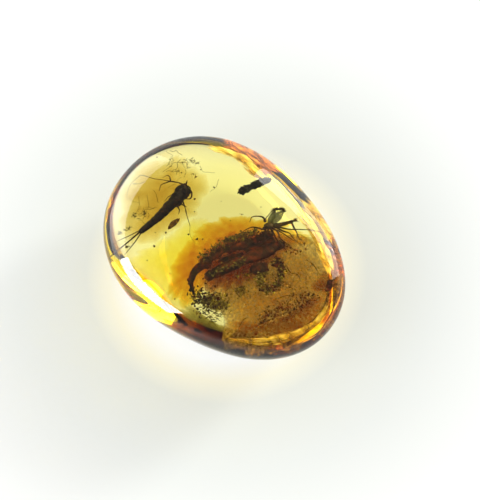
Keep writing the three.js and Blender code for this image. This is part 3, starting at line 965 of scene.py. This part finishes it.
def flank_fractures():
    """Gold stress fractures and rusty crust that run along the ridged flank and the slim tip."""
    gold = Form()
    for path, count, spread, widths, seed in (
        ([(-9.2, 7.0, 4.9), (-6.4, 8.0, 4.9), (-3.6, 8.1, 4.9), (-0.9, 7.8, 4.9)], 18, 0.24, (0.1, 0.34), 81),
        ([(2.8, 8.0, 5.2), (5.9, 7.1, 5.1), (8.4, 5.9, 5.0), (10.3, 4.7, 4.8)], 22, 0.26, (0.12, 0.4), 82),
        ([(6.6, -6.0, 4.4), (9.2, -4.3, 4.4), (11.2, -1.6, 4.4), (11.9, 1.0, 4.4), (11.3, 3.4, 4.4)],
         42, 0.24, (0.14, 0.5), 83),
        ([(2.2, 9.2, 4.5), (4.2, 8.9, 4.5), (6.0, 8.3, 4.5), (7.8, 7.5, 4.5)], 18, 0.22, (0.15, 0.5), 86),
    ):
        streaks(gold, path, count, spread, widths, seed)
    flow = [(3.0, -4.0, 5.2), (6.6, 0.0, 5.2), (8.6, 3.0, 5.1)]
    crumbs(gold, flow, (1.5, 1.5, 0.1), 160, (0.015, 0.05), 87)
    gold.piece("stress_fractures", "spangle", "flow")
    rust = Form()
    streaks(rust, [(-8.6, 8.0, 3.9), (-5.4, 9.0, 3.8), (-1.3, 9.1, 3.8)], 34, 0.34, (0.15, 0.6), 84)
    streaks(rust, [(5.0, 8.2, 3.9), (8.3, 7.0, 3.9), (10.6, 5.2, 3.9)], 10, 0.3, (0.1, 0.4), 85)
    rust.piece("oxidised_crust", "crust", "flow")


def clouded_resin():
    """The caramel flow under the bark, and the stains and veils round it."""
    ochre = [
        (-12.3, -1.2), (-12.1, 1.4), (-10.9, 3.6), (-8.6, 5.0), (-6.2, 3.9), (-5.0, 1.4), (-4.9, -1.8),
        (-5.8, -4.6), (-8.0, -6.0), (-10.6, -4.4),
    ]
    stain("ochre_veil", "ochre", "flow", (-8.6, -0.6, 5.0), ochre, 0.8, 0.8, 0.9, 0.15, 2.0, 5)
    gold = [
        (-6.4, -6.8), (-5.6, -4.6), (-5.0, -2.2), (-4.4, 0.0), (-2.4, 1.4), (-0.4, 0.4), (1.2, -1.6),
        (1.6, -4.6), (1.8, -7.0), (-1.2, -8.2), (-4.4, -8.0),
    ]
    stain("golden_veil", "gold", "flow", (-2.0, -3.2, 4.3), gold, 0.9, 0.8, 0.9, 0.15, 1.6, 6)
    place = (6.8, 0.4, 3.9)
    stain("caramel_flow", "caramel", "flow", place, FLOW_OUTLINE, 1.2, 1.2, 0.55, 0.06, 1.4, 1, 160, 34)
    upper = [
        (-3.4, -0.8), (-3.2, 0.8), (-2.4, 2.2), (-0.8, 3.9), (1.2, 5.2), (3.6, 6.2), (6.0, 6.4), (4.8, 4.0),
        (2.6, 2.6), (1.2, 0.8), (-0.2, -1.0), (-1.8, -1.8),
    ]
    stain("orange_stain_upper", "orange_stain", "flow", (0.2, 2.0, 4.9), upper, 0.5, 0.5, 0.7, 0.22, 1.1, 11)
    left = [
        (-3.0, -1.6), (-2.9, -3.6), (-2.2, -5.4), (-0.8, -7.0), (1.2, -7.2), (1.8, -5.4), (1.2, -3.4),
        (1.0, -1.4), (-0.6, -0.2), (-2.2, -0.4),
    ]
    stain("orange_stain_left", "orange_stain", "flow", (-0.8, -3.6, 4.6), left, 0.5, 0.5, 0.8, 0.22, 1.1, 12)

    sediment = Form()
    foot = [
        (6.6, -6.2), (9.2, -4.6), (11.0, -1.6), (11.6, 1.2), (10.9, 4.0), (10.0, 4.4), (9.9, 1.4),
        (8.9, -1.4), (7.2, -3.8), (5.6, -4.6),
    ]
    sediment.shell(*lens((9.3, -1.8, 3.2), foot, 0.55, 0.5, 1.2, 0.25, 0.8, 3))
    wedge = [(9.2, 3.0), (10.6, 3.0), (11.0, 4.4), (10.0, 5.6), (9.0, 5.0)]
    sediment.shell(*lens((9.9, 3.9, 4.2), wedge, 0.3, 0.3, 1.2, 0.25, 0.6, 7, 60, 14))
    sediment.piece("brown_sediment", "sediment", "flow")
    stain("dusty_film", "dust", "flow", (6.6, 0.2, 4.5), FLOW_OUTLINE, 0.05, 0.03, 0.3, 0.06, 1.4, 4, 200, 60)


def flow_grains():
    """Grains in the caramel flow, thicker in some patches than in others."""
    grains = Form()
    chance = random.Random(71)
    placed = 0
    while placed < GRAIN_COUNT:
        turn = chance.uniform(0, 2 * math.pi)
        out = math.sqrt(chance.random())
        x = 6.4 + 4.2 * out * math.cos(turn)
        y = 0.2 + 4.9 * out * math.sin(turn)
        if noise.noise(Vector((x, y, 2.0)) / 1.4) < chance.uniform(-0.5, 0.5):
            continue
        size = chance.uniform(0.02, 0.06)
        spot = (x, y, chance.uniform(3.2, 4.6))
        grains.lump(spot, (size, size * 1.5, size), math.degrees(turn), 0.4, size, 1, turn)
        placed += 1
    grains.piece("flow_grains", "grain", "debris")


def crack_lines():
    """Fine crooked cracks in the flow, with the dark dust that has gathered along them."""
    lines = Form()
    cracks = [
        [(7.2, 4.7, 5.0), (8.15, 4.75, 5.0), (9.1, 4.45, 4.9), (9.4, 4.75, 4.8)],
        [(7.0, -4.9, 4.9), (6.85, -4.1, 4.9), (7.0, -3.6, 4.9)],
        [(6.1, 2.9, 5.0), (7.0, 2.6, 5.0), (7.7, 2.9, 5.0), (8.4, 2.6, 5.0)],
        [(8.2, -3.6, 4.8), (8.8, -2.2, 4.8), (9.4, -0.8, 4.8), (10.1, 0.4, 4.8)],
        [(7.9, -0.4, 4.9), (8.3, 0.5, 4.9), (9.0, 1.1, 4.9)],
        # A dark seam that follows the skin of the slim end.
        [(10.6, 5.0, 4.5), (11.7, 3.5, 4.5), (12.3, 2.0, 4.5), (12.5, 0.1, 4.5), (12.0, -1.8, 4.5)],
    ]
    for line in cracks:
        lines.tube(line, profile([(0, 0.012), (0.3, 0.04), (0.7, 0.03), (1, 0.01)]), sides=5, steps=40)
    dust = [(8.2, -3.0, 4.8), (8.8, -1.2, 4.8), (9.6, 0.6, 4.8), (10.2, 2.4, 4.7)]
    crumbs(lines, dust, (0.4, 0.35, 0.05), 330, (0.02, 0.1), 72)
    by_gnat = [(4.5, 4.4, 6.0), (5.8, 4.2, 6.0), (6.4, 5.3, 6.0)]
    crumbs(lines, by_gnat, (0.2, 0.2, 0.1), 40, (0.04, 0.12), 73)
    lines.lump((10.5, 4.3, 4.8), (0.7, 0.28, 0.12), 110, 0.4, 0.3, 3, 75)
    lines.piece("crack_lines", "bark", "debris")


# ---------------------------------------------------------------- floor, light and camera
# The view: from the front right, looking down on the pebble.
VIEW_BEARING = math.radians(43)
VIEW_HEIGHT = math.radians(68)
LENS_MM = 110.0
SENSOR_MM = 36.0
FRAME_HEIGHT_MM = 53.2         # how much of the object's plane the picture's height takes in
PICTURE_RIGHT_MM = 1.46        # the pebble lies this far left of the picture's middle
PICTURE_UP_MM = -0.25

RIGHT = Vector((math.cos(VIEW_BEARING), math.sin(VIEW_BEARING), 0))
AWAY = Vector((-math.sin(VIEW_BEARING), math.cos(VIEW_BEARING), 0))
LAMP_DISTANCE = 0.5            # metres from the pebble to each softbox
TABLE_HALF = 2.5               # half the table top's width, in metres
TABLE_GAP_MM = 0.1             # the table lies this far under the pebble, so that they don't flicker
PAINTED_SHADE_REACH_MM = 50            # the painted shade on the table is gone at this distance from the pebble


def camera():
    """The camera at the picture's viewing angle."""
    back = Vector((0, 0, math.sin(VIEW_HEIGHT))) - AWAY * math.cos(VIEW_HEIGHT)
    upward = AWAY * math.sin(VIEW_HEIGHT) + Vector((0, 0, math.cos(VIEW_HEIGHT)))
    aim = Vector((0, 0, 6.0)) + RIGHT * PICTURE_RIGHT_MM + upward * PICTURE_UP_MM
    distance = FRAME_HEIGHT_MM * LENS_MM / SENSOR_MM
    eye = bpy.data.objects.new("camera", bpy.data.cameras.new("camera"))
    bpy.context.scene.collection.objects.link(eye)
    eye.data.lens = LENS_MM
    eye.data.sensor_width = SENSOR_MM
    eye.data.clip_start = 5 * MM
    eye.location = (aim + back * distance) * MM
    eye.rotation_euler = back.to_track_quat("Z", "Y").to_euler()
    bpy.context.scene.camera = eye


def lamp(name, bearing, height, width_deg, height_deg, radiance, fade=None, mirrored=True):
    """A softbox half a metre off, placed and sized in degrees as the camera sees it.

    bearing runs from straight back towards the right. fade narrows the beam, so that the
    softbox looks brightest in its middle. mirrored is whether it shows in the skin's gloss.
    """
    light = bpy.data.lights.new(name, "AREA")
    light.shape = "RECTANGLE"
    light.size = 2 * LAMP_DISTANCE * math.tan(math.radians(width_deg / 2))
    light.size_y = 2 * LAMP_DISTANCE * math.tan(math.radians(height_deg / 2))
    light.energy = radiance * math.pi * light.size * light.size_y
    if fade:
        light.spread = math.radians(fade)
    holder = bpy.data.objects.new(name, light)
    holder.visible_glossy = mirrored
    bpy.context.scene.collection.objects.link(holder)
    turn = math.radians(bearing)
    rise = math.radians(height)
    towards = (RIGHT * math.sin(turn) + AWAY * math.cos(turn)) * math.cos(rise)
    towards += Vector((0, 0, math.sin(rise)))
    holder.location = towards * LAMP_DISTANCE + Vector((0, 0, 5 * MM))
    holder.rotation_euler = towards.to_track_quat("Z", "Y").to_euler()


def light_table():
    """Opal acrylic, lit from below: a pale glow with the faintest clouding, and painted light and shade round
    the pebble.
    """
    material, tree, place = new_material("light_table_acrylic")
    clouds = add(tree, "TexNoise", {"Scale": per_metre(60), "Detail": 1.0}, {"Vector": place})
    paint = add(tree, "ValToRGB", {"stops": [(0.3, "#4a4c4a"), (0.7, "#4f514f")]}, {"Fac": clouds})
    # Painted light and shade in the table's glow colour: bright under the pebble, a painted warm glow at its
    # edge, and a painted warm-grey shade in a ring round it.
    away = add(tree, "VectorMath", {"operation": "LENGTH"}, {0: place}).outputs["Value"]
    share = add(tree, "MapRange", {"From Max": PAINTED_SHADE_REACH_MM * MM}, {"Value": away})
    stops = [(0.21, "#fffffd"), (0.26, "#f6f1d8"), (0.31, "#e0e1d6"), (0.46, "#e8eae5"), (0.72, "#fffffd")]
    painted_glow_and_shade = add(tree, "ValToRGB", {"stops": stops}, {"Fac": share})
    top = add(
        tree, "BsdfPrincipled", {"Roughness": 0.7, "Emission Strength": 0.83},
        {"Base Color": paint, "Emission Color": painted_glow_and_shade},
    )
    add(tree, "OutputMaterial", {}, {"Surface": top})
    return material


def studio():
    """A pale, softly lit table top, and a room that is pale near the horizon and dim above."""
    mesh = bpy.data.meshes.new("table_top")
    half = TABLE_HALF
    level = -TABLE_GAP_MM * MM
    corners = [(-half, -half, level), (half, -half, level), (half, half, level), (-half, half, level)]
    mesh.from_pydata(corners, [], [(0, 1, 2, 3)])
    table = bpy.data.objects.new("table_top", mesh)
    bpy.context.scene.collection.objects.link(table)
    mesh.materials.append(light_table())

    world = bpy.data.worlds.new("studio_room")
    world.use_nodes = True
    bpy.context.scene.world = world
    tree = world.node_tree
    tree.nodes.clear()
    view = add(tree, "TexCoord").outputs["Generated"]
    upwards = add(tree, "SeparateXYZ", {}, {"Vector": view}).outputs["Z"]
    stops = [(0.0, "#e6e8e6"), (0.12, "#d4d6d4"), (0.28, "#868889"), (1.0, "#7c7e80")]
    fade = add(tree, "ValToRGB", {"stops": stops}, {"Fac": upwards})
    sky = add(tree, "Background", {"Strength": 1.0}, {"Color": fade})
    add(tree, "OutputWorld", {}, {"Surface": sky})

    lamp("key_softbox", 48, 15, 46, 30, 4.0)
    lamp("key_bulb", 55, 9, 12, 26, 300.0, mirrored=False)
    lamp("front_strip", -113, 27, 40, 26, 20.0)
    lamp("left_softbox", -58, 18, 68, 44, 1.5, fade=90)
    bpy.context.scene.view_settings.view_transform = "Standard"


# ---------------------------------------------------------------- the whole specimen
camera()
studio()
stone = pebble()
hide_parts("amber")
bristletail()
gnat()
bark_mass()
frass_rod()
bud_scale()
plant_hairs()
clouded_resin()
flow_grains()
crack_lines()
flank_fractures()
